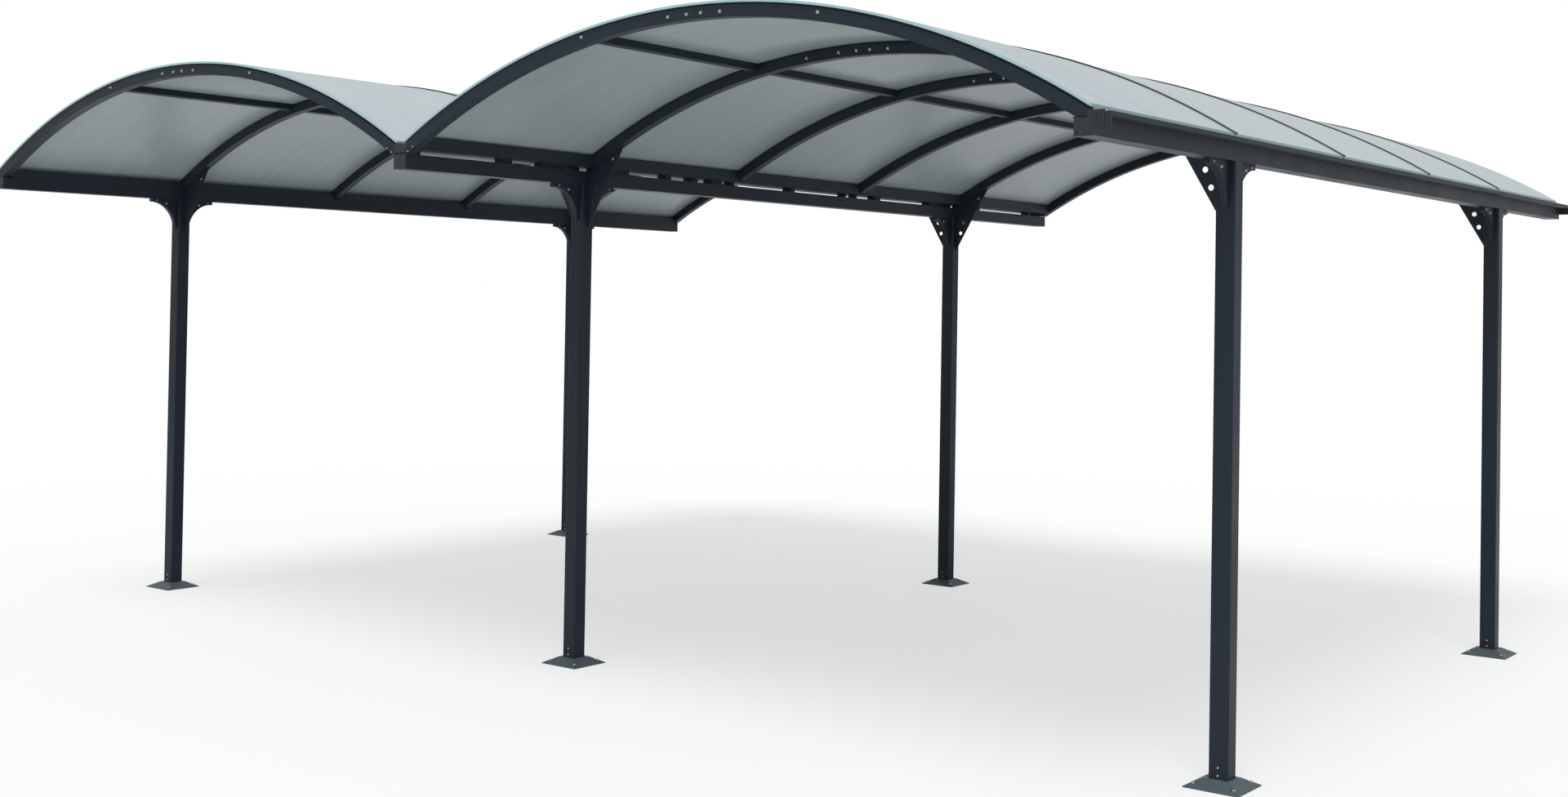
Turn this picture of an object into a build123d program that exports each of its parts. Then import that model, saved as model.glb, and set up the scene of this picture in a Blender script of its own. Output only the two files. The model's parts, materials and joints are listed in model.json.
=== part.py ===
from build123d import *
import os
from math import cos, radians, sin, sqrt

# Double carport: two barrel-vault roofs of smoked twin-wall sheet side by side on six posts.
# Units are millimetres. X runs across both bays, Y runs front to back with the front at -Y,
# and Z is up. The origin is on the floor, in the middle of the plan.
# Each roof is a row of curved ribs. Their feet stand on gutters, and the gutters lie on
# beams that the posts carry: one beam along each side and one down the middle.

# Plan
LINE_SPACING = 2800.0
RIB_PITCH = 970.0
RIB_COUNT = 6
POST_RIBS = (1, 4)

# Posts and their feet
POST_HEIGHT = 1970.0
POST_WIDTH = 65.0
POST_WALL = 2.5
POST_CORNER = 6.0
FOOT_WIDTH = 185.0
FOOT_RIM = 3.0
FOOT_TOP_WIDTH = 86.0
FOOT_HEIGHT = 28.0
FOOT_CLEARANCE = 0.3
ANCHOR_SPACING = 134.0
ANCHOR_RADIUS = 5.0
ANCHOR_SEAT_RADIUS = 10.0
ANCHOR_SEAT_HEIGHT = 7.0

# Beams on the posts
BEAM_WIDTH = 65.0
BEAM_HEIGHT = 52.0
MIDDLE_BEAM_HEIGHT = 57.0
BEAM_WALL = 2.5

# Gutters on the beams
GUTTER_SKIN = 2.5
SIDE_INNER_WALL = 40.0
SIDE_FOOT_OUTER = 8.0
SIDE_STOP_HEIGHT = 18.0
SIDE_LIP_OUTER = 80.0
SIDE_LIP_HEIGHT = 14.0
SIDE_WALL_HEIGHT = 36.0
VALLEY_GAP = 15.0
VALLEY_INNER_WALL = 77.0
VALLEY_FOOT_OUTER = 33.0
VALLEY_WALL_HEIGHT = 48.0
VALLEY_TROUGH_HEIGHT = 20.0
END_CAP_THICKNESS = 4.0
END_CAP_DROP = 30.0
VALLEY_CAP_DROP = 11.0

# Blocks that hold the valley gutter off the middle beam
BLOCK_WIDTH = 46.0
POST_BLOCK_SPANS = ((45.0, 58.0), (126.0, 262.0))
SPACERS = (
    (-2401.0, 74.0), (-1911.0, 52.0), (-936.0, 40.0), (-756.0, 45.0), (-600.0, 77.0), (-480.0, 22.0),
    (-24.0, 37.0), (418.0, 13.0), (513.0, 10.0), (704.0, 51.0), (2266.0, 15.0), (2385.0, 46.0),
)

# Ribs
EAVE_RISE = 86.0
SHEET_RADIUS = 2680.0
ROOF_SHIFT = 5.0
RIB_WIDTH = 40.0
RIB_DEPTH = 38.0
SEAT_WIDTH = 26.0
SEAT_HEIGHT = 7.7
FIT = 0.3

# Roof sheets, the strips over their joints and the bars under them
SHEET_THICKNESS = 8.0
SHEET_JOINT = 4.0
SHEET_SIDE_OVERHANG = 10.0
SHEET_VALLEY_OVERHANG = 13.0
STRIP_THICKNESS = 5.0
STRIP_WIDTH = 22.0
STRIP_END_OVERHANG = 3.0
PURLIN_ANGLE = 10.7
PURLIN_WIDTH = 24.0
PURLIN_DEPTH = 28.0

# Brackets at the post heads
BRACKET_REACH = 146.0
BRACKET_WIDTH = 24.0
BRACKET_LIP = 16.0
BRACKET_TOE = 7.0
GUSSET_REACH = 102.0
GUSSET_DROP = 175.0
GUSSET_THICKNESS = 4.0
GUSSET_HOLES = ((49.0, 22.0), (29.0, 80.0))
GUSSET_HOLE_RADIUS = 10.0

# Worked out from the sizes above
STRIP_INNER = SHEET_RADIUS + FIT
STRIP_OUTER = STRIP_INNER + STRIP_THICKNESS
SHEET_INNER = SHEET_RADIUS - SHEET_THICKNESS
SEAT_OUTER = SHEET_INNER - FIT
RIB_OUTER = SEAT_OUTER - SEAT_HEIGHT
RIB_INNER = RIB_OUTER - RIB_DEPTH
FOOT_FROM_CENTRE = LINE_SPACING / 2 + SIDE_FOOT_OUTER - ROOF_SHIFT
ROOF_CENTRE_Z = POST_HEIGHT + EAVE_RISE - sqrt(SEAT_OUTER ** 2 - FOOT_FROM_CENTRE ** 2)
ROOF_TOP = ROOF_CENTRE_Z + STRIP_OUTER
RIB_Y = [(k - (RIB_COUNT - 1) / 2) * RIB_PITCH for k in range(RIB_COUNT)]
END_Y = RIB_Y[-1] + RIB_WIDTH / 2
GUTTER_END_Y = END_Y - END_CAP_THICKNESS
POST_Y = [RIB_Y[k] for k in POST_RIBS]
BEAM_TOP = POST_HEIGHT + BEAM_HEIGHT
MIDDLE_BEAM_TOP = POST_HEIGHT + MIDDLE_BEAM_HEIGHT
SIDE_FLOOR_TOP = BEAM_TOP + GUTTER_SKIN
VALLEY_FLOOR_BASE = MIDDLE_BEAM_TOP + VALLEY_GAP
VALLEY_FLOOR_TOP = VALLEY_FLOOR_BASE + GUTTER_SKIN
SIDES = {"left": -1, "right": 1}


def block(x_span, y_span, z_span):
    """A box between two values on each axis."""
    centre = [(low + high) / 2 for low, high in (x_span, y_span, z_span)]
    size = [abs(high - low) for low, high in (x_span, y_span, z_span)]
    return Pos(*centre) * Box(*size)


def bay_centre(side):
    """X of a bay's arch centre."""
    return side * (LINE_SPACING / 2 + ROOF_SHIFT)


def along_y(face, y_span):
    """Extrude a face drawn on XZ over a span of Y."""
    return extrude(Pos(0, y_span[0], 0) * face, amount=y_span[1] - y_span[0], dir=(0, 1, 0))


def xz_polygon(points):
    """A flat face on the plane Y = 0 from points given as X and Z."""
    return make_face(Polyline([(x, 0, z) for x, z in points], close=True))


def vault_ring(side, inner, outer, y_span):
    """A full ring about a bay's arch centre, as long as a span of Y."""
    ring = Cylinder(outer, y_span[1] - y_span[0]) - Cylinder(inner, y_span[1] - y_span[0])
    centre = (bay_centre(side), (y_span[0] + y_span[1]) / 2, ROOF_CENTRE_Z)
    return Pos(*centre) * Rot(90, 0, 0) * ring


def between_edges(side, side_x, valley_x, y_span):
    """The space above the middle of the arch circle, between a side edge and a valley edge."""
    x_span = sorted((side * side_x, side * valley_x))
    return block(x_span, y_span, (POST_HEIGHT, ROOF_TOP))


def foot_space(side, y_span, valley_base):
    """The space that a rib fills between its two feet."""
    side_x = LINE_SPACING + SIDE_FOOT_OUTER - FIT
    valley_x = VALLEY_FOOT_OUTER + FIT
    split_x = LINE_SPACING / 2
    outer_half = block(sorted((side * side_x, side * split_x)), y_span, (SIDE_FLOOR_TOP, ROOF_TOP))
    inner_half = block(sorted((side * split_x, side * valley_x)), y_span, (valley_base, ROOF_TOP))
    return outer_half + inner_half


def rib(side, index):
    """One curved rib with a narrow seat for the sheets on its back.

    The first and last rib reach down past the end of the valley gutter to the beam's top.
    """
    y_span = (RIB_Y[index] - RIB_WIDTH / 2, RIB_Y[index] + RIB_WIDTH / 2)
    seat_span = (RIB_Y[index] - SEAT_WIDTH / 2, RIB_Y[index] + SEAT_WIDTH / 2)
    bars = vault_ring(side, RIB_INNER, RIB_OUTER, y_span) + vault_ring(side, RIB_INNER, SEAT_OUTER, seat_span)
    valley_base = MIDDLE_BEAM_TOP + FIT if index in (0, RIB_COUNT - 1) else VALLEY_FLOOR_TOP
    return bars & foot_space(side, y_span, valley_base)


def sheet_span(index):
    """Front and back edge of the sheet between two ribs."""
    front = -END_Y if index == 0 else RIB_Y[index] + SHEET_JOINT / 2
    back = END_Y if index == RIB_COUNT - 2 else RIB_Y[index + 1] - SHEET_JOINT / 2
    return front, back


def roof_sheet(side, index):
    """One sheet, bent over two ribs."""
    y_span = sheet_span(index)
    side_x = LINE_SPACING + SIDE_FOOT_OUTER + SHEET_SIDE_OVERHANG
    valley_x = VALLEY_FOOT_OUTER - SHEET_VALLEY_OVERHANG
    ring = vault_ring(side, SHEET_INNER, SHEET_RADIUS, y_span)
    return ring & between_edges(side, side_x, valley_x, y_span)


def cover_strips(side):
    """The strips clamped over the joints between sheets, one along each rib but the end ones."""
    strips = []
    side_x = LINE_SPACING + SIDE_FOOT_OUTER + SHEET_SIDE_OVERHANG + STRIP_END_OVERHANG
    valley_x = VALLEY_FOOT_OUTER - SHEET_VALLEY_OVERHANG - STRIP_END_OVERHANG
    for rib_y in RIB_Y[1:-1]:
        y_span = (rib_y - STRIP_WIDTH / 2, rib_y + STRIP_WIDTH / 2)
        ring = vault_ring(side, STRIP_INNER, STRIP_OUTER, y_span)
        strips.append(ring & between_edges(side, side_x, valley_x, y_span))
    return strips


def purlins(side):
    """Bars under the sheets, two in each space between ribs, square to the arch."""
    bars = []
    radius = SHEET_INNER - FIT - PURLIN_DEPTH / 2
    flat_drop = SHEET_INNER - sqrt(SHEET_INNER ** 2 - (PURLIN_WIDTH / 2) ** 2)
    for index in range(RIB_COUNT - 1):
        length = RIB_PITCH - RIB_WIDTH
        middle_y = (RIB_Y[index] + RIB_Y[index + 1]) / 2
        for turn in (-PURLIN_ANGLE, PURLIN_ANGLE):
            x = bay_centre(side) + (radius - flat_drop) * sin(radians(turn))
            z = ROOF_CENTRE_Z + (radius - flat_drop) * cos(radians(turn))
            bars.append(Pos(x, middle_y, z) * Rot(0, turn, 0) * Box(PURLIN_WIDTH, length, PURLIN_DEPTH))
    return bars


def rib_notches(x_span, z_span):
    """Openings in a gutter wall that the ribs pass through."""
    notches = []
    for rib_y in RIB_Y:
        y_span = (rib_y - RIB_WIDTH / 2 - FIT, rib_y + RIB_WIDTH / 2 + FIT)
        notches.append(block(x_span, y_span, z_span))
    return notches


def side_gutter(side):
    """Gutter on a side beam: an inner wall, a stop behind the rib feet, a floor and an outer lip."""
    skin = GUTTER_SKIN
    wall, foot_x, lip = SIDE_INNER_WALL, SIDE_FOOT_OUTER, SIDE_LIP_OUTER
    floor = [
        (-wall, 0), (lip, 0), (lip, SIDE_LIP_HEIGHT), (lip - skin, SIDE_LIP_HEIGHT),
        (lip - skin, skin), (-wall, skin),
    ]
    y_span = (-GUTTER_END_Y, GUTTER_END_Y)
    line_x = side * LINE_SPACING
    body = along_y(xz_polygon([(line_x + side * out, BEAM_TOP + up) for out, up in floor]), y_span)
    wall_top = BEAM_TOP + SIDE_WALL_HEIGHT
    inner_x = sorted((line_x - side * wall, line_x - side * (wall - skin)))
    body += block(inner_x, y_span, (BEAM_TOP, wall_top))
    stop_x = sorted((line_x + side * foot_x, line_x + side * (foot_x + skin)))
    body += block(stop_x, y_span, (BEAM_TOP, BEAM_TOP + SIDE_STOP_HEIGHT))
    for notch in rib_notches(inner_x, (SIDE_FLOOR_TOP, wall_top)):
        body -= notch
    return body


def valley_gutter():
    """Gutter between the bays: a trough between the rib feet and a walled shelf on each side of it.

    The shelves carry the rib feet and stop short of the first and last rib.
    """
    y_span = (-GUTTER_END_Y, GUTTER_END_Y)
    shelf_end = END_Y - RIB_WIDTH - FIT
    trough_top = VALLEY_FLOOR_TOP + VALLEY_TROUGH_HEIGHT
    body = block((-VALLEY_FOOT_OUTER, VALLEY_FOOT_OUTER), y_span, (VALLEY_FLOOR_BASE, VALLEY_FLOOR_TOP))
    wall_top = VALLEY_FLOOR_BASE + VALLEY_WALL_HEIGHT
    for side in SIDES.values():
        trough_x = sorted((side * (VALLEY_FOOT_OUTER - GUTTER_SKIN), side * VALLEY_FOOT_OUTER))
        body += block(trough_x, y_span, (VALLEY_FLOOR_BASE, trough_top))
        shelf_x = sorted((side * VALLEY_FOOT_OUTER, side * VALLEY_INNER_WALL))
        body += block(shelf_x, (-shelf_end, shelf_end), (VALLEY_FLOOR_BASE, VALLEY_FLOOR_TOP))
        inner_x = sorted((side * (VALLEY_INNER_WALL - GUTTER_SKIN), side * VALLEY_INNER_WALL))
        wall = block(inner_x, (-shelf_end, shelf_end), (VALLEY_FLOOR_BASE, wall_top))
        for notch in rib_notches(inner_x, (VALLEY_FLOOR_TOP, wall_top)):
            wall -= notch
        body += wall
    return body


def beam(line_x, height):
    """A hollow beam along one line of posts."""
    section = Rectangle(BEAM_WIDTH, height)
    section -= Rectangle(BEAM_WIDTH - 2 * BEAM_WALL, height - 2 * BEAM_WALL)
    tube = Rot(90, 0, 0) * extrude(section, amount=GUTTER_END_Y, both=True)
    return Pos(line_x, 0, POST_HEIGHT + height / 2) * tube


def valley_blocks():
    """Spacers between the middle beam and the valley gutter, with pairs on each side of a post head."""
    spans = [(middle - length / 2, middle + length / 2) for middle, length in SPACERS]
    for post_y in POST_Y:
        for near, far in POST_BLOCK_SPANS:
            spans.append((post_y + near, post_y + far))
            spans.append((post_y - far, post_y - near))
    x_span = (-BLOCK_WIDTH / 2, BLOCK_WIDTH / 2)
    return [block(x_span, span, (MIDDLE_BEAM_TOP, VALLEY_FLOOR_BASE)) for span in spans]


def end_caps():
    """Plates that close the beams and gutters at the front and back, flush with the end ribs."""
    caps = []
    half = BEAM_WIDTH / 2
    valley_x = VALLEY_FOOT_OUTER
    valley_z = (VALLEY_FLOOR_BASE - VALLEY_CAP_DROP, VALLEY_FLOOR_TOP + VALLEY_TROUGH_HEIGHT)
    side_z = (BEAM_TOP - END_CAP_DROP, BEAM_TOP + SIDE_LIP_HEIGHT)
    for end in (-1, 1):
        y_span = sorted((end * GUTTER_END_Y, end * END_Y))
        caps.append(block((-valley_x, valley_x), y_span, valley_z))
        caps.append(block((-half, half), y_span, (POST_HEIGHT, MIDDLE_BEAM_TOP)))
        for side in SIDES.values():
            line_x = side * LINE_SPACING
            near_x = line_x + side * SIDE_FOOT_OUTER
            far_x = line_x + side * SIDE_LIP_OUTER
            beam_cover = block((line_x - half, line_x + half), y_span, (POST_HEIGHT, BEAM_TOP))
            caps.append(beam_cover + block(sorted((near_x, far_x)), y_span, side_z))
    return caps


def post():
    """A hollow square post with rounded corners, from the floor to the beam."""
    section = RectangleRounded(POST_WIDTH, POST_WIDTH, POST_CORNER)
    inner = POST_WIDTH - 2 * POST_WALL
    section -= RectangleRounded(inner, inner, POST_CORNER - POST_WALL)
    return extrude(section, amount=POST_HEIGHT)


def foot():
    """The flared foot around a post, with four anchor holes."""
    half, top_half = FOOT_WIDTH / 2, FOOT_TOP_WIDTH / 2
    slope = loft([
        Pos(0, 0, FOOT_RIM) * Rectangle(FOOT_WIDTH, FOOT_WIDTH),
        Pos(0, 0, FOOT_HEIGHT) * Rectangle(FOOT_TOP_WIDTH, FOOT_TOP_WIDTH),
    ])
    body = slope + block((-half, half), (-half, half), (0, FOOT_RIM))
    hole = RectangleRounded(POST_WIDTH + 2 * FOOT_CLEARANCE, POST_WIDTH + 2 * FOOT_CLEARANCE, POST_CORNER)
    body -= extrude(hole, amount=FOOT_HEIGHT)
    for x in (-ANCHOR_SPACING / 2, ANCHOR_SPACING / 2):
        for y in (-ANCHOR_SPACING / 2, ANCHOR_SPACING / 2):
            body -= Pos(x, y, FOOT_HEIGHT / 2) * Cylinder(ANCHOR_RADIUS, FOOT_HEIGHT)
            seat_height = FOOT_HEIGHT - ANCHOR_SEAT_HEIGHT
            seat_z = ANCHOR_SEAT_HEIGHT + seat_height / 2
            body -= Pos(x, y, seat_z) * Cylinder(ANCHOR_SEAT_RADIUS, seat_height)
    return body


def arc_bracket(facing):
    """Bracket under the beam with a concave edge, on a post's front (-1) or back (1) face."""
    reach, lip, toe = BRACKET_REACH, BRACKET_LIP, BRACKET_TOE
    rise = reach - lip
    half_turn = sqrt(0.5)
    middle = (reach - (reach - toe) * half_turn, -(reach - rise * half_turn))
    outline = [(0, 0), (reach, 0), (reach, -lip), middle, (toe, -reach), (0, -reach)]
    near = POST_WIDTH / 2
    points = [(0, facing * (near + out), POST_HEIGHT + up) for out, up in outline]
    edge = Polyline(points[0], points[1], points[2])
    edge += ThreePointArc(points[2], points[3], points[4])
    edge += Polyline(points[4], points[5], points[0])
    return extrude(make_face(edge), amount=BRACKET_WIDTH / 2, both=True)


def cross_gusset(bay_side, towards):
    """Flat plate from a post up past the beam and gutter to the underside of the rib above."""
    on_side_line = towards != bay_side
    post_x = bay_side * LINE_SPACING if on_side_line else 0.0
    slope = GUSSET_REACH / GUSSET_DROP
    top = ROOF_TOP - POST_HEIGHT
    near = POST_WIDTH / 2 + FIT
    outline = [(near, -GUSSET_DROP), (near, top), (near + slope * (top + GUSSET_DROP), top)]
    face = xz_polygon([(post_x + towards * out, POST_HEIGHT + up) for out, up in outline])
    y_span = (-GUSSET_THICKNESS / 2, GUSSET_THICKNESS / 2)
    plate = along_y(face, y_span)
    under_rib = Pos(bay_centre(bay_side), 0, ROOF_CENTRE_Z) * Rot(90, 0, 0) * Cylinder(
        RIB_INNER - FIT, GUSSET_THICKNESS)
    plate &= under_rib
    gutter_x, gutter_z = (SIDE_INNER_WALL, BEAM_TOP) if on_side_line else (VALLEY_INNER_WALL, VALLEY_FLOOR_BASE)
    keep_clear = sorted((post_x, post_x + towards * (gutter_x + FIT)))
    plate -= block(keep_clear, y_span, (gutter_z - FIT, ROOF_TOP))
    for out, down in GUSSET_HOLES:
        hole = Pos(post_x + towards * (POST_WIDTH / 2 + out), 0, POST_HEIGHT - down) * Rot(90, 0, 0)
        plate -= hole * Cylinder(GUSSET_HOLE_RADIUS, GUSSET_THICKNESS)
    return plate


def head_brackets(line):
    """All brackets at the heads of one line of posts."""
    line_x = line * LINE_SPACING
    pieces = []
    for post_y in POST_Y:
        for facing in (-1, 1):
            pieces.append(Pos(line_x, post_y, 0) * arc_bracket(facing))
        if line == 0:
            gussets = [cross_gusset(side, side) for side in SIDES.values()]
        else:
            gussets = [cross_gusset(line, -line)]
        pieces += [Pos(0, post_y, 0) * gusset for gusset in gussets]
    return pieces


def save(name, solids):
    """Write one named sub-part, made of one solid or several that don't touch."""
    solids = solids if isinstance(solids, list) else [solids]
    flat = [solid for item in solids for solid in item.solids()]
    shape = flat[0] if len(flat) == 1 else Compound(children=flat)
    shape.label = name
    export_step(shape, f"parts/{name}.step")


def main():
    os.makedirs("parts", exist_ok=True)
    lines = {"left": -1, "middle": 0, "right": 1}
    for line_name, line in lines.items():
        line_x = line * LINE_SPACING
        for row_name, post_y in zip(("front", "back"), POST_Y):
            save(f"post_{row_name}_{line_name}", Pos(line_x, post_y, 0) * post())
        save(f"post_feet_{line_name}", [Pos(line_x, post_y, 0) * foot() for post_y in POST_Y])
        save(f"head_brackets_{line_name}", head_brackets(line))
        save(f"beam_{line_name}", beam(line_x, BEAM_HEIGHT if line else MIDDLE_BEAM_HEIGHT))
    save("valley_gutter", valley_gutter())
    save("valley_blocks", valley_blocks())
    save("gutter_end_caps", end_caps())
    for side_name, side in SIDES.items():
        save(f"gutter_{side_name}", side_gutter(side))
        save(f"purlins_{side_name}", purlins(side))
        save(f"cover_strips_{side_name}", cover_strips(side))
        for index in range(RIB_COUNT):
            save(f"rib_{side_name}_{index + 1}", rib(side, index))
        for index in range(RIB_COUNT - 1):
            save(f"roof_sheet_{side_name}_{index + 1}", roof_sheet(side, index))


main()
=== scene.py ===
"""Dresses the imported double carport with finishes, fasteners and small trim, on a plain studio stage."""

import json
import math

import bmesh
import bpy
from mathutils import Matrix, Vector

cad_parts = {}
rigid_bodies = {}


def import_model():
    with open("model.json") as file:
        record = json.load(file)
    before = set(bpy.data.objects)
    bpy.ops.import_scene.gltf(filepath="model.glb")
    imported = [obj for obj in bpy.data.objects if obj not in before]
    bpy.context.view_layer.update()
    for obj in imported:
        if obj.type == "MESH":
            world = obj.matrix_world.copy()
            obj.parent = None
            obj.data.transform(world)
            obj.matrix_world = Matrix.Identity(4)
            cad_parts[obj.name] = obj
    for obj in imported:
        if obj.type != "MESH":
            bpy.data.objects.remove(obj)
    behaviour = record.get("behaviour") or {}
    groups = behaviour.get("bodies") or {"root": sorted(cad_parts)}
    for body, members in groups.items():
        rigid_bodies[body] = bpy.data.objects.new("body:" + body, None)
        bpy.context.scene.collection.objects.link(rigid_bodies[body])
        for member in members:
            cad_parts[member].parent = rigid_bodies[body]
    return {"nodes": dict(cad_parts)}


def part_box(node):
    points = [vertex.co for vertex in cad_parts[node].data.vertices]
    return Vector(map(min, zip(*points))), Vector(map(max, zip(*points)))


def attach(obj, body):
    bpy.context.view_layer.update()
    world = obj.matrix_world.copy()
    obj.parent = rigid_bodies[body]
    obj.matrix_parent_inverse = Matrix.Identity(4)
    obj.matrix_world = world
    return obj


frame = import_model()
for leftover in [o for o in bpy.data.objects if o.name in ("Cube", "Light", "Camera")]:
    bpy.data.objects.remove(leftover)
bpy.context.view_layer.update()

bl_info = {
    "name": "Double carport dressing",
    "version": (1, 0, 0),
    "blender": (4, 5, 0),
    "location": "3D View > Sidebar > Carport",
    "description": "Gives the double carport its finishes, bolts, screws and trim, and sets the stage",
    "category": "Object",
}

MM = 0.001
BODY = "root"
SIDES = ("left", "right")
LINES = ("left", "middle", "right")
ENDS = ("front", "back")
RIBS = range(1, 7)
FRONT = Vector((0, -1, 0))
BACK = Vector((0, 1, 0))
UP = Vector((0, 0, 1))

# Places on the ribs: along the arc from its top, and deep under the top face of the sheets
SPLICE_BOLTS_ALONG = (-110 * MM, -30 * MM, 30 * MM, 110 * MM)
RIB_MIDDLE_DEPTH = 36 * MM
PURLIN_ANGLE = math.radians(10.7)
PURLIN_BOLT_DEPTH = 28 * MM
SPARE_BOLT_RIB = 2
SPARE_BOLT_ALONG = 258 * MM
JOINT_HALF_GAP = 1 * MM
JOINT_DEPTHS = (17 * MM, 53 * MM)
SEAL_ALONG = (-19 * MM, 42 * MM)
SEAL_DEPTHS = (16.2 * MM, 19.5 * MM)
BEAD_DEPTH = 20 * MM
BEAD_STOP = 70 * MM

# Screws at the valley feet of the first and last ribs: out from the middle line, and up from the beam
FOOT_SCREWS = ((45 * MM, 8 * MM), (70 * MM, 24 * MM))
FOOT_SCREW_SHARE = 0.75

# Fasteners at the feet of the posts
THROUGH_SCREW_HEIGHTS = (40 * MM, 65 * MM)
ANCHOR_OFFSET = 67 * MM
ANCHOR_SEAT_HEIGHT = 7 * MM
ANCHOR_WASHER_MARGIN = 4 * MM

# Fasteners at the heads of the posts: away from the post's middle, and down or up from its top
BRACKET_HALF_WIDTH = 12 * MM
BRACKET_BOLT = (96 * MM, 21 * MM)
BRACKET_SCREW = (150 * MM, 8 * MM)
GUSSET_HALF_THICKNESS = 2 * MM
GUSSET_BOLT = (170 * MM, 104 * MM)
GUSSET_SIDES = {"left": (1,), "middle": (-1, 1), "right": (-1,)}

# Trim of the side gutters' end caps: out from the beam's middle, and up from the beam's top or bottom
RIDGE_COUNT = 5
RIDGE_START = 25 * MM
RIDGE_HALF_WIDTH = 2.5 * MM
RIDGE_RELIEF = 1.6 * MM
RIDGE_SPAN = (-27 * MM, 11 * MM)
TONGUE_ACROSS = (8 * MM, 60 * MM)
TONGUE_SPAN = (13.5 * MM, 20 * MM)
TONGUE_THICKNESS = 4 * MM
PLUGS_ACROSS = (-24 * MM, 0)
PLUG_HEIGHT = 12 * MM

# The photograph's view: place in metres, and turns in degrees
CAMERA_PLACE = (5.084, -6.873, 1.500)
CAMERA_TURN = 38.43
CAMERA_TILT = 90.94
CAMERA_ROLL = 0.99
CAMERA_SHIFT = (0.0347, -0.0805)


def hex_colour(text):
    """An sRGB hex value as the linear red, green, blue and alpha that shaders take."""
    parts = [int(text[i:i + 2], 16) / 255 for i in (1, 3, 5)]
    return tuple(c / 12.92 if c <= 0.04045 else ((c + 0.055) / 1.055) ** 2.4 for c in parts) + (1.0,)


def add_node(tree, kind, settings=None, links=None):
    """Adds a node, sets its properties and sockets, and links other nodes' outputs into its sockets."""
    node = tree.nodes.new(kind)
    for name, value in (settings or {}).items():
        if isinstance(name, str) and hasattr(node, name):
            setattr(node, name, value)
        else:
            node.inputs[name].default_value = value
    for socket, source in (links or {}).items():
        tree.links.new(source, node.inputs[socket])
    return node


class CarportSizes(bpy.types.PropertyGroup):
    """Sizes of the small parts."""
    bolt_flats: bpy.props.FloatProperty(
        name="Bolt head", description="Width of a hexagon head across its flats",
        default=10 * MM, unit="LENGTH")
    anchor_flats: bpy.props.FloatProperty(
        name="Anchor head", description="Width of a floor anchor's hexagon head across its flats",
        default=13 * MM, unit="LENGTH")
    anchor_height: bpy.props.FloatProperty(
        name="Anchor head height", description="How far an anchor head stands above its washer",
        default=8 * MM, unit="LENGTH")
    bolt_height: bpy.props.FloatProperty(
        name="Bolt head height", description="How far a bolt head stands above its washer",
        default=3.2 * MM, unit="LENGTH")
    washer: bpy.props.FloatProperty(
        name="Washer", description="Diameter of the washer under a bolt head",
        default=12.5 * MM, unit="LENGTH")
    screw: bpy.props.FloatProperty(
        name="Screw head", description="Diameter of a small domed screw head",
        default=8 * MM, unit="LENGTH")
    bead: bpy.props.FloatProperty(
        name="Rib bead", description="Height of the bead drawn along each rib face",
        default=3 * MM, unit="LENGTH")
    cap_ridge: bpy.props.FloatProperty(
        name="Cap ridge spacing", description="Distance between the upright ridges of a gutter end cap",
        default=11 * MM, unit="LENGTH")


class CarportColours(bpy.types.PropertyGroup):
    """Colours of the finishes."""
    frame: bpy.props.FloatVectorProperty(
        name="Frame paint", description="Powder coat of posts, beams, ribs and gutters",
        default=hex_colour("#1f2932"), size=4, subtype="COLOR", min=0, max=1)
    sheet: bpy.props.FloatVectorProperty(
        name="Roof sheet", description="Smoke tint of the twin wall roof sheets",
        default=hex_colour("#bac4c8"), size=4, subtype="COLOR", min=0, max=1)
    # Painted light: the strips' tops are given a paler colour than their sides, standing in for the light
    # that falls on them.
    strip: bpy.props.FloatVectorProperty(
        name="Cover strips", description="Tops of the strips over the sheet joints",
        default=hex_colour("#8f959a"), size=4, subtype="COLOR", min=0, max=1)
    strip_side: bpy.props.FloatVectorProperty(
        name="Strip sides", description="Sides of the strips over the sheet joints",
        default=hex_colour("#353e43"), size=4, subtype="COLOR", min=0, max=1)
    foot: bpy.props.FloatVectorProperty(
        name="Foot covers", description="Moulded covers at the foot of each post",
        default=hex_colour("#4a575d"), size=4, subtype="COLOR", min=0, max=1)
    cap: bpy.props.FloatVectorProperty(
        name="End caps", description="Moulded caps on the beam and gutter ends",
        default=hex_colour("#1b2228"), size=4, subtype="COLOR", min=0, max=1)
    zinc: bpy.props.FloatVectorProperty(
        name="Fasteners", description="Zinc plate on bolts, screws and washers",
        default=hex_colour("#b4b6b8"), size=4, subtype="COLOR", min=0, max=1)
    # Painted highlight: the sheets' cut edges are given a paler, bluer colour for the light that comes out
    # of them.
    sheet_edge_highlight: bpy.props.FloatVectorProperty(
        name="Sheet edges", description="Cut edges of the roof sheets, where their inner light comes out",
        default=hex_colour("#9dbcbd"), size=4, subtype="COLOR", min=0, max=1)
    rubber: bpy.props.FloatVectorProperty(
        name="Seals", description="Rubber at the rib joints",
        default=hex_colour("#15181a"), size=4, subtype="COLOR", min=0, max=1)


class CarportStage(bpy.types.PropertyGroup):
    """Light and lens of the stage."""
    sky: bpy.props.FloatProperty(
        name="Soft light", description="Level of the even light from all round",
        default=0.58, min=0, max=2)
    lamp: bpy.props.FloatProperty(
        name="Key lamp", description="Level of the soft lamp from above", default=1.95, min=0, max=5)
    lens: bpy.props.FloatProperty(
        name="Focal length", description="Lens of the camera on a 36 mm sensor",
        default=41.10, min=10, max=200)


def start_material(name):
    """A new material with its node tree and Principled shader, and the Object coordinates it reads."""
    material = bpy.data.materials.new(name)
    material.use_nodes = True
    tree = material.node_tree
    shader = next(n for n in tree.nodes if n.type == "BSDF_PRINCIPLED")
    place = add_node(tree, "ShaderNodeTexCoord").outputs["Object"]
    return material, tree, shader, place


def noise_scale(size):
    """Scale of a noise texture whose spots are about this many metres across."""
    return 1 / size


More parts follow.
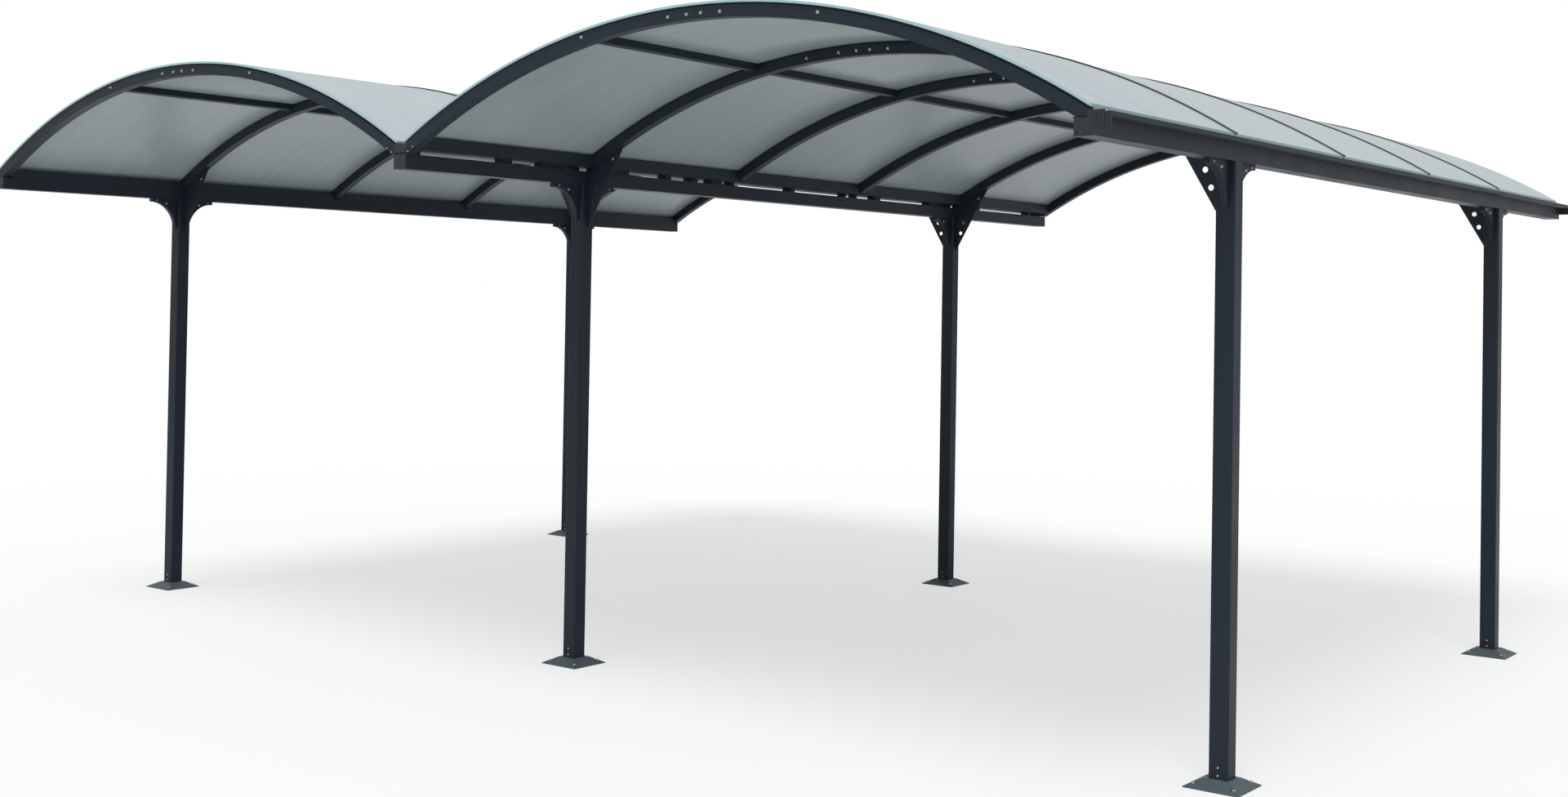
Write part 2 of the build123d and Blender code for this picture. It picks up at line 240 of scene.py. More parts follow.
def band_scale(period):
    """Scale of a wave texture whose bands repeat after this many metres."""
    # At a scale of 1 the bands of Blender's wave texture repeat every 2 pi / 20.
    return 2 * math.pi / (20 * period)


def shade(colour, amount):
    """A colour made lighter or darker by a factor, its alpha kept."""
    return tuple(min(1.0, c * amount) for c in colour[:3]) + (1.0,)


def mottled(tree, place, colour, spot, spread):
    """Colour output that drifts between a darker and a lighter shade of one colour."""
    cloud = add_node(
        tree, "ShaderNodeTexNoise", {"Scale": noise_scale(spot), "Detail": 3.0}, {"Vector": place})
    mix = add_node(
        tree, "ShaderNodeMix",
        {"data_type": "RGBA", 6: shade(colour, 1 - spread), 7: shade(colour, 1 + spread)},
        {0: cloud.outputs["Fac"]})
    return mix.outputs[2]


def grainy(tree, place, grain, depth, roughness, change):
    """Normal and roughness outputs of a surface with a fine grain of that size and depth."""
    spots = add_node(
        tree, "ShaderNodeTexNoise", {"Scale": noise_scale(grain), "Detail": 2.0}, {"Vector": place})
    bump = add_node(
        tree, "ShaderNodeBump", {"Strength": 0.6, "Distance": depth}, {"Height": spots.outputs["Fac"]})
    patches = add_node(
        tree, "ShaderNodeTexNoise", {"Scale": noise_scale(60 * grain), "Detail": 2.0}, {"Vector": place})
    rough = add_node(
        tree, "ShaderNodeMapRange",
        {"From Min": 0.3, "From Max": 0.7, "To Min": roughness - change, "To Max": roughness + change},
        {"Value": patches.outputs["Fac"]})
    return bump.outputs["Normal"], rough.outputs["Result"]


def powder_coated_aluminium(colours):
    """Anthracite polyester powder baked on extruded aluminium: a satin skin with a faint orange peel."""
    material, tree, shader, place = start_material("powder_coated_aluminium")
    # The peel is about 2 mm across in life, and is drawn at 6 mm so that it shows.
    normal, rough = grainy(
        tree, place, grain=6 * MM, depth=0.12 * MM, roughness=0.46, change=0.06)
    colour = mottled(tree, place, colours.frame, spot=350 * MM, spread=0.08)
    tree.links.new(colour, shader.inputs["Base Color"])
    tree.links.new(rough, shader.inputs["Roughness"])
    tree.links.new(normal, shader.inputs["Normal"])
    shader.inputs["Specular IOR Level"].default_value = 0.2
    return material


def above(tree, value, limit):
    """1 where a value is above a limit and 0 where it isn't."""
    return add_node(
        tree, "ShaderNodeMath", {"operation": "GREATER_THAN", 1: limit}, {0: value}).outputs["Value"]


def roof_places(tree, place):
    """Distances from the middle line, from the middle of the length, and from the bay's arc axis."""
    centre_x, centre_z, radius = roof_arc("right")
    parts = add_node(tree, "ShaderNodeSeparateXYZ", {}, {"Vector": place})
    from_middle = add_node(
        tree, "ShaderNodeMath", {"operation": "ABSOLUTE"}, {0: parts.outputs["X"]}).outputs["Value"]
    from_centre = add_node(
        tree, "ShaderNodeMath", {"operation": "ABSOLUTE"}, {0: parts.outputs["Y"]}).outputs["Value"]
    across = add_node(
        tree, "ShaderNodeMath", {"operation": "SUBTRACT", 1: centre_x}, {0: from_middle}).outputs["Value"]
    up = add_node(
        tree, "ShaderNodeMath", {"operation": "SUBTRACT", 1: centre_z},
        {0: parts.outputs["Z"]}).outputs["Value"]
    flat = add_node(tree, "ShaderNodeCombineXYZ", {}, {"X": across, "Y": up})
    from_axis = add_node(
        tree, "ShaderNodeVectorMath", {"operation": "LENGTH"}, {0: flat.outputs["Vector"]}).outputs["Value"]
    return from_middle, from_centre, from_axis


def sheet_faces(tree, place):
    """Masks of the sheets' lower faces, which carry painted shade, and of their cut edges, which carry a
    painted highlight.
    """
    low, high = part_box("roof_sheet_right_1")
    half_thickness = 4 * MM
    skin = 0.5 * MM
    from_middle, from_centre, from_axis = roof_places(tree, place)
    upper = above(tree, from_axis, roof_arc("right")[2] - half_thickness)
    lower = add_node(tree, "ShaderNodeMath", {"operation": "SUBTRACT", 0: 1.0}, {1: upper}).outputs["Value"]
    ends = above(tree, from_centre, -low.y - skin)
    eaves = above(tree, from_middle, high.x - skin)
    edges = add_node(tree, "ShaderNodeMath", {"operation": "MAXIMUM"}, {0: ends, 1: eaves}).outputs["Value"]
    return lower, edges


def twin_wall_polycarbonate(colours):
    """Smoke tinted twin wall sheet, extruded: inner walls every 11 mm draw fine streaks along the arch."""
    material, tree, shader, place = start_material("twin_wall_polycarbonate")
    # The flutes are drawn every 22 mm, since the real 11 mm ones are too fine to show.
    flutes = add_node(
        tree, "ShaderNodeTexWave",
        {"wave_type": "BANDS", "bands_direction": "Y", "Scale": band_scale(22 * MM),
         "Distortion": 0.0, "Detail": 0.0},
        {"Vector": place})
    streaks = add_node(
        tree, "ShaderNodeMapping", {"vector_type": "POINT", "Scale": (0.8, 26.0, 0.8)}, {"Vector": place})
    uneven = add_node(
        tree, "ShaderNodeTexNoise", {"Scale": 1.0, "Detail": 4.0, "Roughness": 0.6},
        {"Vector": streaks.outputs["Vector"]})
    wide = add_node(
        tree, "ShaderNodeTexNoise", {"Scale": noise_scale(900 * MM), "Detail": 1.0}, {"Vector": place})
    amount = add_node(
        tree, "ShaderNodeMath", {"operation": "MULTIPLY_ADD", 1: 0.35},
        {0: flutes.outputs["Fac"], 2: uneven.outputs["Fac"]})
    streaked = add_node(
        tree, "ShaderNodeMix",
        {"data_type": "RGBA", 6: shade(colours.sheet, 0.78), 7: shade(colours.sheet, 1.12)},
        {0: amount.outputs["Value"]})
    tinted = add_node(
        tree, "ShaderNodeMix",
        {"data_type": "RGBA", "blend_type": "MULTIPLY", 7: hex_colour("#ebf0f3")},
        {0: wide.outputs["Fac"], 6: streaked.outputs[2]})
    # Painted shade: the sheets' lower faces are multiplied darker and greyer, standing in for the shade
    # under the roof.
    lower, edges = sheet_faces(tree, place)
    underside_painted_shade = add_node(
        tree, "ShaderNodeMix",
        {"data_type": "RGBA", "blend_type": "MULTIPLY", 7: hex_colour("#ced1cf")},
        {0: lower, 6: tinted.outputs[2]})
    # Painted highlight: the cut edges get a paler, bluer colour, standing in for the light that comes out
    # of them.
    painted_edge_highlight = add_node(
        tree, "ShaderNodeMix", {"data_type": "RGBA", 7: colours.sheet_edge_highlight},
        {0: edges, 6: underside_painted_shade.outputs[2]})
    bump = add_node(
        tree, "ShaderNodeBump", {"Strength": 0.5, "Distance": 0.15 * MM}, {"Height": flutes.outputs["Fac"]})
    tree.links.new(painted_edge_highlight.outputs[2], shader.inputs["Base Color"])
    tree.links.new(bump.outputs["Normal"], shader.inputs["Normal"])
    shader.inputs["Roughness"].default_value = 0.34
    shader.inputs["IOR"].default_value = 1.58
    shader.inputs["Specular IOR Level"].default_value = 0.35
    return material


def moulded_plastic(name, colour):
    """Injection moulded polypropylene: an even, slightly dull skin with the mould's fine grain."""
    material, tree, shader, place = start_material(name)
    # The grain is under 1 mm in life, and is drawn at 4 mm so that it shows.
    normal, rough = grainy(
        tree, place, grain=4 * MM, depth=0.1 * MM, roughness=0.5, change=0.05)
    tree.links.new(mottled(tree, place, colour, spot=60 * MM, spread=0.06), shader.inputs["Base Color"])
    tree.links.new(rough, shader.inputs["Roughness"])
    tree.links.new(normal, shader.inputs["Normal"])
    return material


def extruded_strip(colours):
    """Extruded PVC cover strip: a top painted paler to stand in for the light on it, between two dark lips.
    """
    material, tree, shader, place = start_material("extruded_strip_pvc")
    # The drawn grain is coarser than the faint die lines of the real strip, so that it shows.
    normal, rough = grainy(
        tree, place, grain=5 * MM, depth=0.1 * MM, roughness=0.42, change=0.05)
    strip_rise = 4.5 * MM
    # Painted light: the top faces get the paler colour, standing in for the light on them, and the sides
    # the darker one.
    top = above(tree, roof_places(tree, place)[2], roof_arc("right")[2] + strip_rise)
    side = mottled(tree, place, colours.strip_side, spot=60 * MM, spread=0.06)
    painted_lit_top = mottled(tree, place, colours.strip, spot=200 * MM, spread=0.06)
    mix = add_node(tree, "ShaderNodeMix", {"data_type": "RGBA"}, {0: top, 6: side, 7: painted_lit_top})
    tree.links.new(mix.outputs[2], shader.inputs["Base Color"])
    tree.links.new(rough, shader.inputs["Roughness"])
    tree.links.new(normal, shader.inputs["Normal"])
    return material


def zinc_plated_steel(colours):
    """Zinc plated steel fasteners: bright grey metal with a slightly cloudy passivated film."""
    material, tree, shader, place = start_material("zinc_plated_steel")
    normal, rough = grainy(
        tree, place, grain=2 * MM, depth=0.03 * MM, roughness=0.36, change=0.06)
    colour = mottled(tree, place, colours.zinc, spot=8 * MM, spread=0.08)
    tree.links.new(colour, shader.inputs["Base Color"])
    tree.links.new(rough, shader.inputs["Roughness"])
    tree.links.new(normal, shader.inputs["Normal"])
    shader.inputs["Metallic"].default_value = 0.85
    return material


def black_rubber(colours):
    """Extruded EPDM rubber at the rib joints: near black and dull."""
    material, tree, shader, place = start_material("extruded_epdm_rubber")
    normal, rough = grainy(
        tree, place, grain=3 * MM, depth=0.05 * MM, roughness=0.72, change=0.06)
    colour = mottled(tree, place, colours.rubber, spot=30 * MM, spread=0.15)
    tree.links.new(colour, shader.inputs["Base Color"])
    tree.links.new(rough, shader.inputs["Roughness"])
    tree.links.new(normal, shader.inputs["Normal"])
    return material


def finish_of(slot):
    """The finished material for one of the record's slots, made on first use."""
    colours = bpy.context.scene.carport_colours
    makers = {
        "frame_paint": lambda: powder_coated_aluminium(colours),
        "roof_sheet": lambda: twin_wall_polycarbonate(colours),
        "strip_plastic": lambda: extruded_strip(colours),
        "foot_plastic": lambda: moulded_plastic("moulded_foot_polypropylene", colours.foot),
        "cap_plastic": lambda: moulded_plastic("moulded_cap_polypropylene", colours.cap),
        "zinc": lambda: zinc_plated_steel(colours),
        "rubber": lambda: black_rubber(colours),
    }
    tag = "finish_" + slot
    found = [m for m in bpy.data.materials if m.get("carport_finish") == tag]
    if found:
        return found[0]
    material = makers[slot]()
    material["carport_finish"] = tag
    return material


def circle_through(first, second, third):
    """Centre X, centre Z and radius of the circle through three points given as (x, z)."""
    (ax, az), (bx, bz), (cx, cz) = first, second, third
    a, b, c = ax ** 2 + az ** 2, bx ** 2 + bz ** 2, cx ** 2 + cz ** 2
    scale = 2 * (ax * (bz - cz) + bx * (cz - az) + cx * (az - bz))
    centre_x = (a * (bz - cz) + b * (cz - az) + c * (az - bz)) / scale
    centre_z = (a * (cx - bx) + b * (ax - cx) + c * (bx - ax)) / scale
    return centre_x, centre_z, math.hypot(ax - centre_x, az - centre_z)


def roof_arc(side):
    """Centre X, centre Z and radius of the top face of one bay's roof, from its first sheet."""
    node = f"roof_sheet_{side}_1"
    low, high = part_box(node)
    points = [(v.co.x, v.co.z) for v in frame["nodes"][node].data.vertices]
    slack = 0.1 * MM
    near = max(z for x, z in points if x < low.x + slack)
    far = max(z for x, z in points if x > high.x - slack)
    top = max(points, key=lambda point: point[1])
    return circle_through((low.x, near), top, (high.x, far))


def arc_point(side, along, depth, y):
    """A point so far along the roof's arc from its top, and so far under the sheets' top face."""
    centre_x, centre_z, radius = roof_arc(side)
    angle = along / radius
    reach = radius - depth
    return Vector((centre_x + reach * math.sin(angle), y, centre_z + reach * math.cos(angle)))


def seat_on(point, outward):
    """The placement of a head whose underside is at the point and whose top looks outward."""
    return Matrix.Translation(point) @ Vector(outward).to_track_quat("Z", "Y").to_matrix().to_4x4()


def round_off(bm, edges, size, segments=2):
    """Rounds the given edges."""
    bmesh.ops.bevel(
        bm, geom=edges, offset=size, offset_type="OFFSET", affect="EDGES", segments=segments,
        profile=0.5, material=-1, clamp_overlap=True)


def hexagon_bolt(flats, height, washer):
    """A hexagon head with a rounded top rim on a round washer, standing on z = 0."""
    bm = bmesh.new()
    washer_height = 1.2 * MM
    washer_taper = 0.3 * MM
    bmesh.ops.create_cone(
        bm, cap_ends=True, segments=16, radius1=washer / 2, radius2=washer / 2 - washer_taper,
        depth=washer_height, matrix=Matrix.Translation((0, 0, washer_height / 2)))
    corner = flats / math.sqrt(3)
    head = bmesh.ops.create_cone(
        bm, cap_ends=True, segments=6, radius1=corner, radius2=corner, depth=height,
        matrix=Matrix.Translation((0, 0, washer_height + height / 2)))["verts"]
    top = max(v.co.z for v in head)
    rim = [e for e in bm.edges if all(v in head and v.co.z > top - 1e-6 for v in e.verts)]
    round_off(bm, rim, 0.8 * MM)
    return bm


def frame_bolt(sizes):
    """The bolt used all over the frame."""
    return hexagon_bolt(sizes.bolt_flats, sizes.bolt_height, sizes.washer)


def domed_screw(width):
    """A low domed head with a driving recess, standing on z = 0."""
    bm = bmesh.new()
    height = 2.4 * MM
    head = bmesh.ops.create_cone(
        bm, cap_ends=True, segments=12, radius1=width / 2, radius2=width / 2 - 0.4 * MM,
        depth=height, matrix=Matrix.Translation((0, 0, height / 2)))["verts"]
    rim = [e for e in bm.edges if all(v in head and v.co.z > height - 1e-6 for v in e.verts)]
    round_off(bm, rim, 0.9 * MM)
    top = max(bm.faces, key=lambda f: f.calc_center_median().z)
    bmesh.ops.inset_individual(bm, faces=[top], thickness=1.1 * MM, depth=-1.0 * MM)
    return bm


def add_copies(bm, shape, places):
    """Adds one copy of a shape to the bmesh for each placement."""
    pattern = bpy.data.meshes.new("pattern")
    shape.to_mesh(pattern)
    shape.free()
    for place in places:
        before = len(bm.verts)
        bm.from_mesh(pattern)
        bm.verts.ensure_lookup_table()
        bmesh.ops.transform(bm, matrix=place, verts=bm.verts[before:])
    bpy.data.meshes.remove(pattern)


def add_block(bm, low, high, bevel=0.4 * MM):
    """Adds a bevelled bar that fills the space between two corners."""
    low, high = Vector(low), Vector(high)
    size = Matrix.Diagonal((*(high - low), 1))
    made = bmesh.ops.create_cube(bm, size=1, matrix=Matrix.Translation((low + high) / 2) @ size)["verts"]
    edges = list({e for v in made for e in v.link_edges})
    round_off(bm, edges, bevel, segments=1)


def add_arc_bar(bm, side, along, depths, y_span, steps):
    """Adds a bar that follows the roof's arc, by spinning its cross section about the arc's axis."""
    centre_x, centre_z, radius = roof_arc(side)
    start, end = along
    top, bottom = depths
    y_from, y_to = y_span
    corners = [(top, y_from), (top, y_to), (bottom, y_to), (bottom, y_from)]
    section = bm.faces.new([bm.verts.new(arc_point(side, start, depth, y)) for depth, y in corners])
    geometry = [section, *section.edges, *section.verts]
    bmesh.ops.spin(
        bm, geom=geometry, cent=(centre_x, 0, centre_z), axis=(0, 1, 0), dvec=(0, 0, 0),
        angle=(end - start) / radius, steps=steps, use_merge=False, use_duplicate=False)


def finish_piece(bm, name, slot, smooth=True):
    """Makes a bmesh one piece that rides on the frame, its faces outward and its finish assigned."""
    bmesh.ops.recalc_face_normals(bm, faces=bm.faces[:])
    mesh = bpy.data.meshes.new(name)
    bm.to_mesh(mesh)
    bm.free()
    mesh.materials.append(finish_of(slot))
    piece = bpy.data.objects.new(name, mesh)
    bpy.context.scene.collection.objects.link(piece)
    if smooth:
        for face in mesh.polygons:
            face.use_smooth = True
        mesh.set_sharp_from_angle(angle=math.radians(28))
    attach(piece, BODY)
    return piece


def rib_y(side, number):
    """The Y of a rib's front face and of its back face."""
    low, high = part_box(f"rib_{side}_{number}")
    return low.y, high.y


class CARPORT_OT_finishes(bpy.types.Operator):
    """Gives every CAD node its finished material"""
    bl_idname = "carport.finishes"
    bl_label = "Finishes"

    def execute(self, context):
        for name, node in frame["nodes"].items():
            for slot in node.material_slots:
                slot.material = finish_of(slot.material.name.split(".")[0])
        return {"FINISHED"}


class CARPORT_OT_rib_bolts(bpy.types.Operator):
    """Bolts the ribs: the splice at the top, the purlins and the rib feet over the valley"""
    bl_idname = "carport.rib_bolts"
    bl_label = "Rib bolts"

    def execute(self, context):
        sizes = context.scene.carport_sizes
        beam_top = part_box("beam_middle")[1].z
        for side in SIDES:
            purlin = PURLIN_ANGLE * roof_arc(side)[2]
            outward = 1 if side == "right" else -1
            bm = bmesh.new()
            feet = bmesh.new()
            places = []
            foot_places = []
            for number in RIBS:
                front, back = rib_y(side, number)
                spots = [(along, RIB_MIDDLE_DEPTH) for along in SPLICE_BOLTS_ALONG]
                spots += [(-purlin, PURLIN_BOLT_DEPTH), (purlin, PURLIN_BOLT_DEPTH)]
                if number == SPARE_BOLT_RIB:
                    spots.append((-outward * SPARE_BOLT_ALONG, RIB_MIDDLE_DEPTH))
                for along, depth in spots:
                    places.append(seat_on(arc_point(side, along, depth, front), FRONT))
                    places.append(seat_on(arc_point(side, along, depth, back), BACK))
                if number in (RIBS[0], RIBS[-1]):
                    for out, up in FOOT_SCREWS:
                        foot_places.append(seat_on((outward * out, front, beam_top + up), FRONT))
                        foot_places.append(seat_on((outward * out, back, beam_top + up), BACK))
            add_copies(bm, frame_bolt(sizes), places)
            finish_piece(bm, f"rib_bolts_{side}", "zinc")
            add_copies(feet, domed_screw(FOOT_SCREW_SHARE * sizes.screw), foot_places)
            finish_piece(feet, f"rib_foot_screws_{side}", "zinc")
        return {"FINISHED"}


class CARPORT_OT_rib_joints(bpy.types.Operator):
    """Marks the joint at the top of each rib, with its dark seal"""
    bl_idname = "carport.rib_joints"
    bl_label = "Rib joints"

    def execute(self, context):
        proud = 0.6 * MM
        gap = (-JOINT_HALF_GAP, JOINT_HALF_GAP)
        bm = bmesh.new()
        for side in SIDES:
            for number in RIBS:
                front, back = rib_y(side, number)
                for face, out in ((front, -proud), (back, proud)):
                    near, far = sorted((face - out, face + out))
                    add_arc_bar(bm, side, gap, JOINT_DEPTHS, (near, far), steps=1)
                    add_arc_bar(bm, side, SEAL_ALONG, SEAL_DEPTHS, (near, far), steps=3)
        finish_piece(bm, "rib_joint_seals", "rubber", smooth=False)
        return {"FINISHED"}


class CARPORT_OT_rib_beads(bpy.types.Operator):
    """Draws the thin extruded bead near the upper edge of each rib face"""
    bl_idname = "carport.rib_beads"
    bl_label = "Rib beads"

    def execute(self, context):
        sizes = context.scene.carport_sizes
        proud = 1.0 * MM
        depths = (BEAD_DEPTH, BEAD_DEPTH + sizes.bead)
        for side in SIDES:
            bm = bmesh.new()
            low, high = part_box(f"rib_{side}_1")
            reach = (high.x - low.x) / 2 - BEAD_STOP
            radius = roof_arc(side)[2]
            span = math.asin(reach / radius) * radius
            for number in RIBS:
                front, back = rib_y(side, number)
                for face, out in ((front, -proud), (back, proud)):
                    near, far = sorted((face - out, face + out))
                    add_arc_bar(bm, side, (-span, span), depths, (near, far), steps=48)
            finish_piece(bm, f"rib_beads_{side}", "frame_paint")
        return {"FINISHED"}


class CARPORT_OT_post_bolts(bpy.types.Operator):
    """Bolts each post to its foot, and anchors each foot to the floor"""
    bl_idname = "carport.post_bolts"
    bl_label = "Post and foot bolts"

    def execute(self, context):
        sizes = context.scene.carport_sizes
        for line in LINES:
            through = bmesh.new()
            anchors = bmesh.new()
            through_places = []
            anchor_places = []
            for end in ENDS:
                low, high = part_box(f"post_{end}_{line}")
                x, y = (low.x + high.x) / 2, (low.y + high.y) / 2
                for height in THROUGH_SCREW_HEIGHTS:
                    through_places.append(seat_on((x, low.y, height), FRONT))
                    through_places.append(seat_on((x, high.y, height), BACK))
                for anchor_x in (x - ANCHOR_OFFSET, x + ANCHOR_OFFSET):
                    for anchor_y in (y - ANCHOR_OFFSET, y + ANCHOR_OFFSET):
                        anchor_places.append(seat_on((anchor_x, anchor_y, ANCHOR_SEAT_HEIGHT), UP))
            add_copies(through, domed_screw(sizes.screw), through_places)
            finish_piece(through, f"post_screws_{line}", "zinc")
            washer = sizes.anchor_flats + ANCHOR_WASHER_MARGIN
            anchor = hexagon_bolt(sizes.anchor_flats, sizes.anchor_height, washer)
            add_copies(anchors, anchor, anchor_places)
            finish_piece(anchors, f"foot_anchors_{line}", "zinc")
        return {"FINISHED"}


class CARPORT_OT_head_bolts(bpy.types.Operator):
    """Bolts the brackets and the gussets at the post heads"""
    bl_idname = "carport.head_bolts"
    bl_label = "Post head bolts"

    def execute(self, context):
        sizes = context.scene.carport_sizes
        bolt_along, bolt_down = BRACKET_BOLT
        screw_along, screw_down = BRACKET_SCREW
        gusset_across, gusset_up = GUSSET_BOLT
        for line in LINES:
            bolts = bmesh.new()
            screws = bmesh.new()
            bolt_places = []
            screw_places = []
            for end in ENDS:
                low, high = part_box(f"post_{end}_{line}")
                x, y, top = (low.x + high.x) / 2, (low.y + high.y) / 2, high.z
                for along in (-1, 1):
                    for across in (-1, 1):
                        face = x + across * BRACKET_HALF_WIDTH
                        outward = (across, 0, 0)
                        bolt_spot = (face, y + along * bolt_along, top - bolt_down)
                        screw_spot = (face, y + along * screw_along, top - screw_down)
                        bolt_places.append(seat_on(bolt_spot, outward))
                        screw_places.append(seat_on(screw_spot, outward))
                for across in GUSSET_SIDES[line]:
                    spot_x, spot_z = x + across * gusset_across, top + gusset_up
                    bolt_places.append(seat_on((spot_x, y - GUSSET_HALF_THICKNESS, spot_z), FRONT))
                    bolt_places.append(seat_on((spot_x, y + GUSSET_HALF_THICKNESS, spot_z), BACK))
            add_copies(bolts, frame_bolt(sizes), bolt_places)
            finish_piece(bolts, f"head_bolts_{line}", "zinc")
            add_copies(screws, domed_screw(sizes.screw), screw_places)
            finish_piece(screws, f"head_screws_{line}", "zinc")
        return {"FINISHED"}


class CARPORT_OT_cap_trim(bpy.types.Operator):
    """Puts the upright ridges, the top tongues and the small plugs on the gutter end caps"""
    bl_idname = "carport.cap_trim"
    bl_label = "End cap trim"

    def execute(self, context):
        sizes = context.scene.carport_sizes
        low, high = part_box("gutter_end_caps")
        ridges = bmesh.new()
        plugs = bmesh.new()
        places = []
        for side in SIDES:
            beam_low, beam_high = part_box(f"beam_{side}")
            outer = 1 if side == "right" else -1
            centre = (beam_low.x + beam_high.x) / 2
            bottom, top = (beam_high.z + up for up in RIDGE_SPAN)
            tongue_bottom, tongue_top = (beam_high.z + up for up in TONGUE_SPAN)
            tongue_near, tongue_far = sorted(centre + outer * across for across in TONGUE_ACROSS)
            for face, outward in ((low.y, FRONT), (high.y, BACK)):
                near, far = sorted((face, face + outward.y * RIDGE_RELIEF))
                for step in range(RIDGE_COUNT):
                    x = centre + outer * (RIDGE_START + step * sizes.cap_ridge)
                    low_corner = (x - RIDGE_HALF_WIDTH, near, bottom)
                    add_block(ridges, low_corner, (x + RIDGE_HALF_WIDTH, far, top))
                near, far = sorted((face, face - outward.y * TONGUE_THICKNESS))
                low_corner = (tongue_near, near, tongue_bottom)
                add_block(ridges, low_corner, (tongue_far, far, tongue_top))
                for across in PLUGS_ACROSS:
                    spot = (centre + outer * across, face, beam_low.z + PLUG_HEIGHT)
                    places.append(seat_on(spot, outward))
        finish_piece(ridges, "end_cap_ridges", "cap_plastic", smooth=False)
        add_copies(plugs, domed_screw(sizes.screw), places)
        finish_piece(plugs, "end_cap_plugs", "cap_plastic")
        return {"FINISHED"}


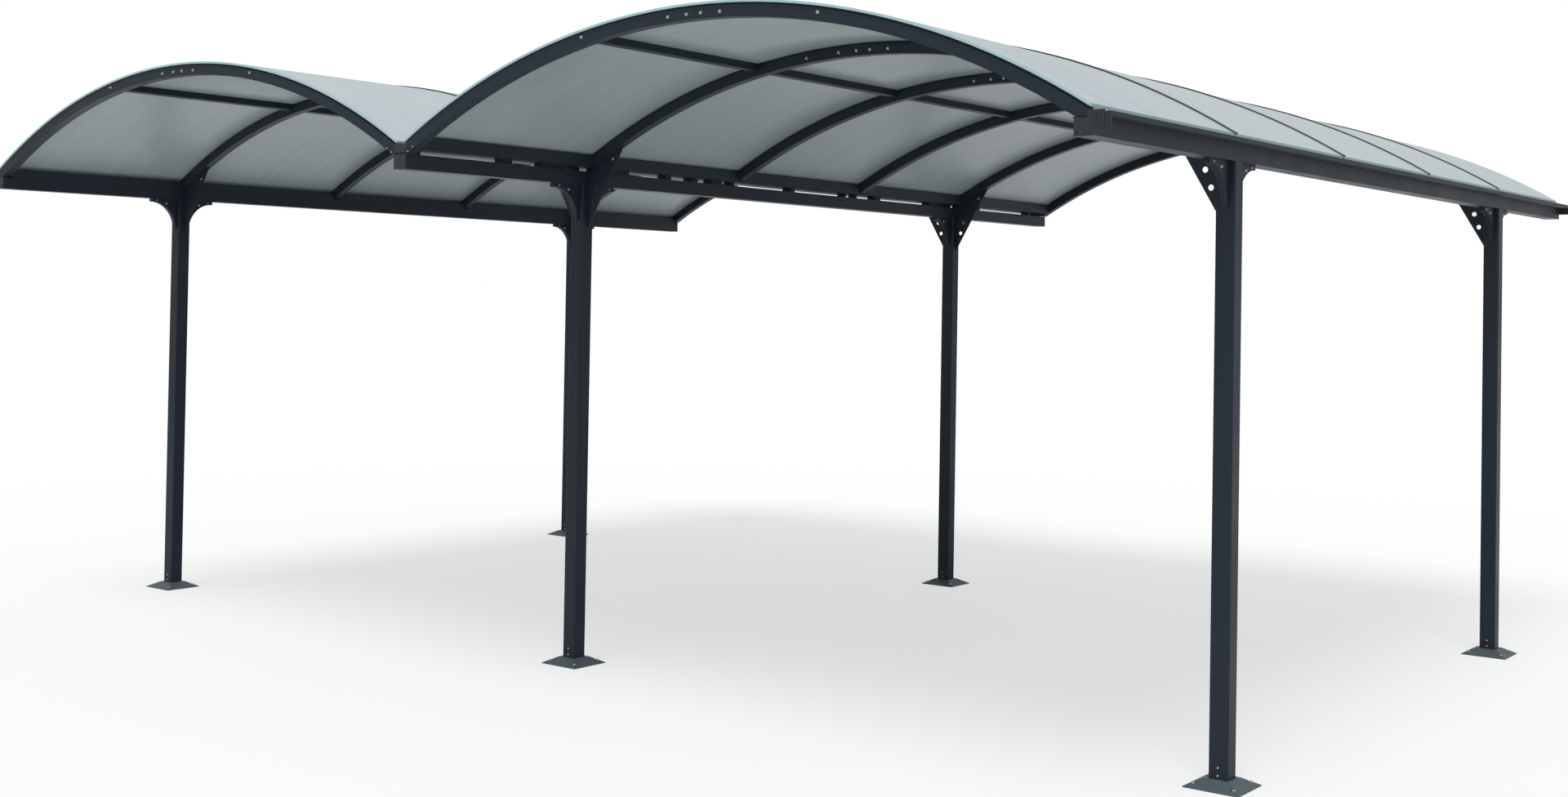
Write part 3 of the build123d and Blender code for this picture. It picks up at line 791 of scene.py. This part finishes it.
class CARPORT_OT_stage(bpy.types.Operator):
    """Sets the floor, the soft light and the camera"""
    bl_idname = "carport.stage"
    bl_label = "Stage"

    def execute(self, context):
        scene = context.scene
        settings = scene.carport_stage
        scene.view_settings.view_transform = "Standard"
        self.make_floor()
        self.make_world(scene, settings)
        self.make_lamp(scene, settings)
        self.make_camera(scene, settings)
        return {"FINISHED"}

    def make_floor(self):
        """A pale floor that keeps the shadow near the carport and runs out to white."""
        bm = bmesh.new()
        reach = 150
        bmesh.ops.create_circle(bm, cap_ends=True, segments=64, radius=reach)
        mesh = bpy.data.meshes.new("studio_floor")
        bm.to_mesh(mesh)
        bm.free()
        floor = bpy.data.objects.new("studio_floor", mesh)
        bpy.context.scene.collection.objects.link(floor)
        material, tree, shader, place = start_material("pale_studio_floor")
        tint = mottled(tree, place, hex_colour("#eff0f0"), spot=0.8, spread=0.006)
        tree.links.new(tint, shader.inputs["Base Color"])
        shader.inputs["Roughness"].default_value = 0.9
        shader.inputs["Specular IOR Level"].default_value = 0.1
        far = add_node(tree, "ShaderNodeVectorMath", {"operation": "LENGTH"}, {0: place})
        fade = add_node(
            tree, "ShaderNodeMapRange",
            {"interpolation_type": "SMOOTHSTEP",
             "From Min": 4.0, "From Max": 9.0, "To Min": 0.6, "To Max": 1.0},
            {"Value": far.outputs["Value"]})
        path = add_node(tree, "ShaderNodeLightPath")
        seen = add_node(
            tree, "ShaderNodeMath", {"operation": "MULTIPLY"},
            {0: fade.outputs["Result"], 1: path.outputs["Is Camera Ray"]})
        glow = add_node(tree, "ShaderNodeEmission", {"Color": (1, 1, 1, 1), "Strength": 1.0})
        blend = add_node(
            tree, "ShaderNodeMixShader", {},
            {0: seen.outputs["Value"], 1: shader.outputs["BSDF"], 2: glow.outputs["Emission"]})
        output = next(n for n in tree.nodes if n.type == "OUTPUT_MATERIAL")
        tree.links.new(blend.outputs["Shader"], output.inputs["Surface"])
        mesh.materials.append(material)

    def make_world(self, scene, settings):
        """Even light from all round, seen as white by the camera."""
        world = bpy.data.worlds.new("soft_studio")
        scene.world = world
        world.use_nodes = True
        tree = world.node_tree
        back = next(n for n in tree.nodes if n.type == "BACKGROUND")
        back.inputs["Color"].default_value = (1, 1, 1, 1)
        path = add_node(tree, "ShaderNodeLightPath")
        seen = add_node(
            tree, "ShaderNodeMath", {"operation": "MAXIMUM"},
            {0: path.outputs["Is Camera Ray"], 1: path.outputs["Is Transmission Ray"]})
        level = add_node(
            tree, "ShaderNodeMapRange", {"To Min": settings.sky, "To Max": 1.0},
            {"Value": seen.outputs["Value"]})
        tree.links.new(level.outputs["Result"], back.inputs["Strength"])

    def make_lamp(self, scene, settings):
        """A soft lamp high up, a little to the front and to the right."""
        lamp = bpy.data.lights.new("key_lamp", "SUN")
        lamp.energy = settings.lamp
        lamp.angle = math.radians(30)
        holder = bpy.data.objects.new("key_lamp", lamp)
        scene.collection.objects.link(holder)
        toward = Vector((0.14, -0.5, 1.0))
        holder.rotation_euler = toward.to_track_quat("Z", "Y").to_euler()

    def make_camera(self, scene, settings):
        """The photograph's view: standing in front of the right bay, turned to the left."""
        camera = bpy.data.cameras.new("photo_camera")
        camera.sensor_width = 36
        camera.lens = settings.lens
        camera.shift_x, camera.shift_y = CAMERA_SHIFT
        camera.clip_start = 0.1
        camera.clip_end = 400
        holder = bpy.data.objects.new("photo_camera", camera)
        scene.collection.objects.link(holder)
        turn = Matrix.Rotation(math.radians(CAMERA_TURN), 4, "Z")
        tilt = Matrix.Rotation(math.radians(CAMERA_TILT), 4, "X")
        roll = Matrix.Rotation(math.radians(CAMERA_ROLL), 4, "Z")
        holder.matrix_world = Matrix.Translation(CAMERA_PLACE) @ turn @ tilt @ roll
        scene.camera = holder


class CARPORT_PT_sidebar(bpy.types.Panel):
    """The carport's pieces, sizes and colours"""
    bl_idname = "CARPORT_PT_sidebar"
    bl_label = "Double carport"
    bl_space_type = "VIEW_3D"
    bl_region_type = "UI"
    bl_category = "Carport"

    def draw(self, context):
        layout = self.layout
        scene = context.scene
        for group in (scene.carport_sizes, scene.carport_colours, scene.carport_stage):
            column = layout.column()
            for name in group.__annotations__:
                column.prop(group, name)
        for step in STEPS:
            layout.operator(step.bl_idname)


STEPS = (
    CARPORT_OT_finishes,
    CARPORT_OT_rib_bolts,
    CARPORT_OT_rib_joints,
    CARPORT_OT_rib_beads,
    CARPORT_OT_post_bolts,
    CARPORT_OT_head_bolts,
    CARPORT_OT_cap_trim,
    CARPORT_OT_stage,
)
GROUPS = {
    "carport_sizes": CarportSizes,
    "carport_colours": CarportColours,
    "carport_stage": CarportStage,
}
CLASSES = (*GROUPS.values(), *STEPS, CARPORT_PT_sidebar)


def register():
    for kind in CLASSES:
        bpy.utils.register_class(kind)
    for name, group in GROUPS.items():
        setattr(bpy.types.Scene, name, bpy.props.PointerProperty(type=group))


def unregister():
    for name in GROUPS:
        delattr(bpy.types.Scene, name)
    for kind in reversed(CLASSES):
        bpy.utils.unregister_class(kind)


def main():
    """Registers the add-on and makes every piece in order."""
    register()
    bpy.ops.carport.finishes()
    bpy.ops.carport.rib_bolts()
    bpy.ops.carport.rib_joints()
    bpy.ops.carport.rib_beads()
    bpy.ops.carport.post_bolts()
    bpy.ops.carport.head_bolts()
    bpy.ops.carport.cap_trim()
    bpy.ops.carport.stage()


if __name__ == "__main__":
    main()
